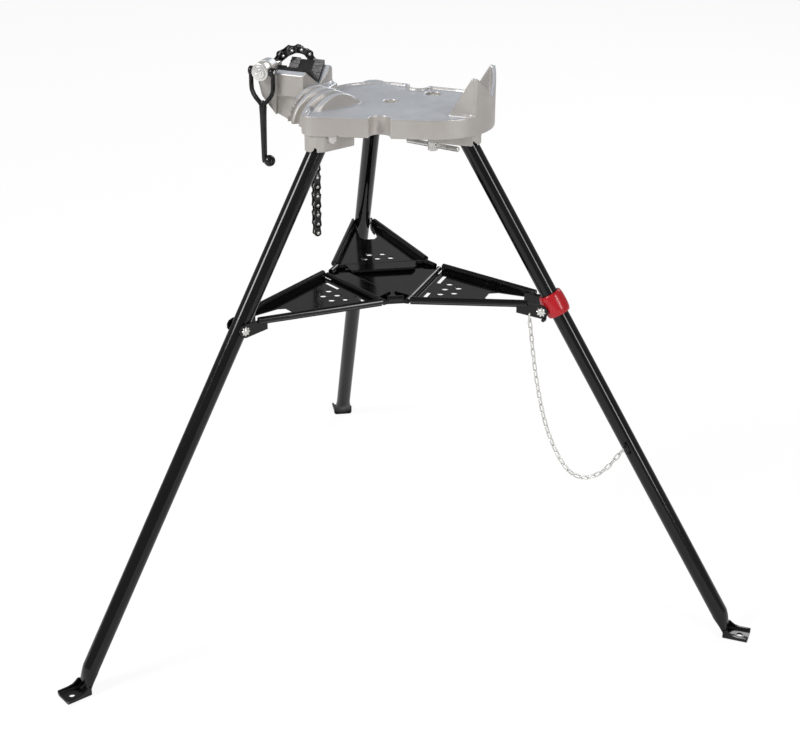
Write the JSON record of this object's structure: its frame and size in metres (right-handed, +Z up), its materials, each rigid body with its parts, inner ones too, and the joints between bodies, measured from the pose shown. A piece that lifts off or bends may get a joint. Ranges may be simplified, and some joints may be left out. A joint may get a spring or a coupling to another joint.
{
  "type": "tripod pipe vise stand",
  "caption": "Folding tripod stand with a cast table, chain pipe vise, pipe rest, bender ribs and a hinged three-arm tool tray.",
  "frame": {"origin": "on the floor below the middle of the bounding box", "axes": "+Z up, +X from the chain vise towards the V pipe rest, along a clamped pipe"},
  "size_m": [0.9626, 1.1116, 0.8907],
  "materials": {
    "cast_aluminium": "as cast, matt",
    "jaw_steel": "black oxide",
    "black_steel": "black oxide, satin",
    "zinc_steel": "bright zinc plate",
    "black_paint": "gloss",
    "red_paint": "gloss"
  },
  "bodies": {
    "stand": {"table_casting": "cast_aluminium", "leg_hinge_pins": "zinc_steel", "chain_jaw": "jaw_steel", "jaw_bolts": "black_steel"},
    "leg_right": {"leg_right": "black_paint", "leg_collar": "red_paint", "collar_screw": "black_steel", "latch_pin": "zinc_steel", "tie_staple": "black_paint", "tie_chain": "zinc_steel"},
    "leg_rear": {"leg_rear": "black_paint"},
    "leg_front": {"leg_front": "black_paint"},
    "tray": {"tray_pan": "black_paint", "tray_hinge_pins": "black_steel"},
    "arm_right": {"tray_arm_right": "black_paint", "arm_rivets_right": "zinc_steel", "tie_hook": "zinc_steel"},
    "arm_rear": {"tray_arm_rear": "black_paint", "arm_rivets_rear": "zinc_steel"},
    "arm_front": {"tray_arm_front": "black_paint", "arm_rivets_front": "zinc_steel"},
    "latch": {"latch_lever": "black_steel"},
    "nut": {"vise_nut": "zinc_steel"},
    "screw": {"chain_screw": "zinc_steel"},
    "handle": {"vise_handle": "black_steel", "handle_knob": "black_steel"},
    "drape": {"drape_plates": "black_steel", "drape_rollers": "zinc_steel"},
    "tail": {"tail_plates": "black_steel", "tail_rollers": "zinc_steel"},
    "tail_end": {"tail_end_plates": "black_steel", "tail_end_rollers": "zinc_steel"},
    "brace": {"brace_screw": "zinc_steel"},
    "crossbar": {"brace_tbar": "zinc_steel"}
  },
  "joints": [
    {"name": "leg_right_fold", "type": "hinge", "parent": "stand", "child": "leg_right", "pos_m": [-0.02814, 0, 0.796], "axis": [0, 1, 0], "range_deg": [0, 31]},
    {"name": "leg_rear_fold", "type": "hinge", "parent": "stand", "child": "leg_rear", "pos_m": [-0.21099, 0.10557, 0.796], "axis": [-0.866, -0.5, 0], "range_deg": [0, 31]},
    {"name": "leg_front_fold", "type": "hinge", "parent": "stand", "child": "leg_front", "pos_m": [-0.21099, -0.10557, 0.796], "axis": [0.866, -0.5, 0], "range_deg": [0, 31]},
    {"name": "tray_rise", "type": "slide", "parent": "stand", "child": "tray", "axis": [0, 0, 1], "range_m": [0, 0.1602]},
    {"name": "arm_right_fold", "type": "hinge", "parent": "tray", "child": "arm_right", "pos_m": [-0.08664, 0, 0.534], "axis": [0, 1, 0], "range_deg": [0, 76]},
    {"name": "arm_rear_fold", "type": "hinge", "parent": "tray", "child": "arm_rear", "pos_m": [-0.18174, 0.05491, 0.534], "axis": [-0.866, -0.5, 0], "range_deg": [0, 72.8]},
    {"name": "arm_front_fold", "type": "hinge", "parent": "tray", "child": "arm_front", "pos_m": [-0.18174, -0.05491, 0.534], "axis": [0.866, -0.5, 0], "range_deg": [0, 72.8]},
    {"name": "latch_swing", "type": "hinge", "parent": "leg_right", "child": "latch", "pos_m": [0.11512, 0.0081, 0.526], "axis": [0, 1, 0], "range_deg": [0, 30]},
    {"name": "nut_turn", "type": "hinge", "parent": "stand", "child": "nut", "pos_m": [-0.33904, -0.0435, 0.866], "axis": [0, 1, 0], "range_deg": [-30, 240]},
    {"name": "screw_draw", "type": "slide", "parent": "stand", "child": "screw", "axis": [0, -1, 0], "range_m": [-0.0003, 0.0018]},
    {"name": "handle_swing", "type": "hinge", "parent": "nut", "child": "handle", "pos_m": [-0.33904, -0.0435, 0.866], "axis": [-1, 0, 0], "range_deg": [0, 100]},
    {"name": "chain_drape", "type": "hinge", "parent": "screw", "child": "drape", "pos_m": [-0.33904, 0.0075, 0.866], "axis": [0.7071, -0.7071, 0], "range_deg": [0, 15]},
    {"name": "chain_tail", "type": "hinge", "parent": "drape", "child": "tail", "pos_m": [-0.29392, 0.05262, 0.7839], "axis": [0.7071, -0.7071, 0], "range_deg": [-25, 0]},
    {"name": "chain_tail_end", "type": "hinge", "parent": "tail", "child": "tail_end", "pos_m": [-0.29392, 0.05262, 0.68865], "axis": [0.7071, -0.7071, 0], "range_deg": [-25, 0]},
    {"name": "brace_turn", "type": "hinge", "parent": "stand", "child": "brace", "pos_m": [-0.09745, 0.066, 0.745], "axis": [0, 0, 1], "continuous": true},
    {"name": "crossbar_slide", "type": "slide", "parent": "brace", "child": "crossbar", "axis": [0.9816, -0.1908, 0], "range_m": [-0.035, 0.035]}
  ],
  "couplings": [
    {"joint": "leg_rear_fold", "follows": "leg_right_fold", "ratio": 1},
    {"joint": "leg_front_fold", "follows": "leg_right_fold", "ratio": 1},
    {"joint": "tray_rise", "follows": "leg_right_fold", "m_per_rad": 0.2952},
    {"joint": "arm_right_fold", "follows": "leg_right_fold", "ratio": 2.4359},
    {"joint": "arm_rear_fold", "follows": "leg_right_fold", "ratio": 2.3315},
    {"joint": "arm_front_fold", "follows": "leg_right_fold", "ratio": 2.3315},
    {"joint": "screw_draw", "follows": "nut_turn", "m_per_rad": 0.000398}
  ]
}
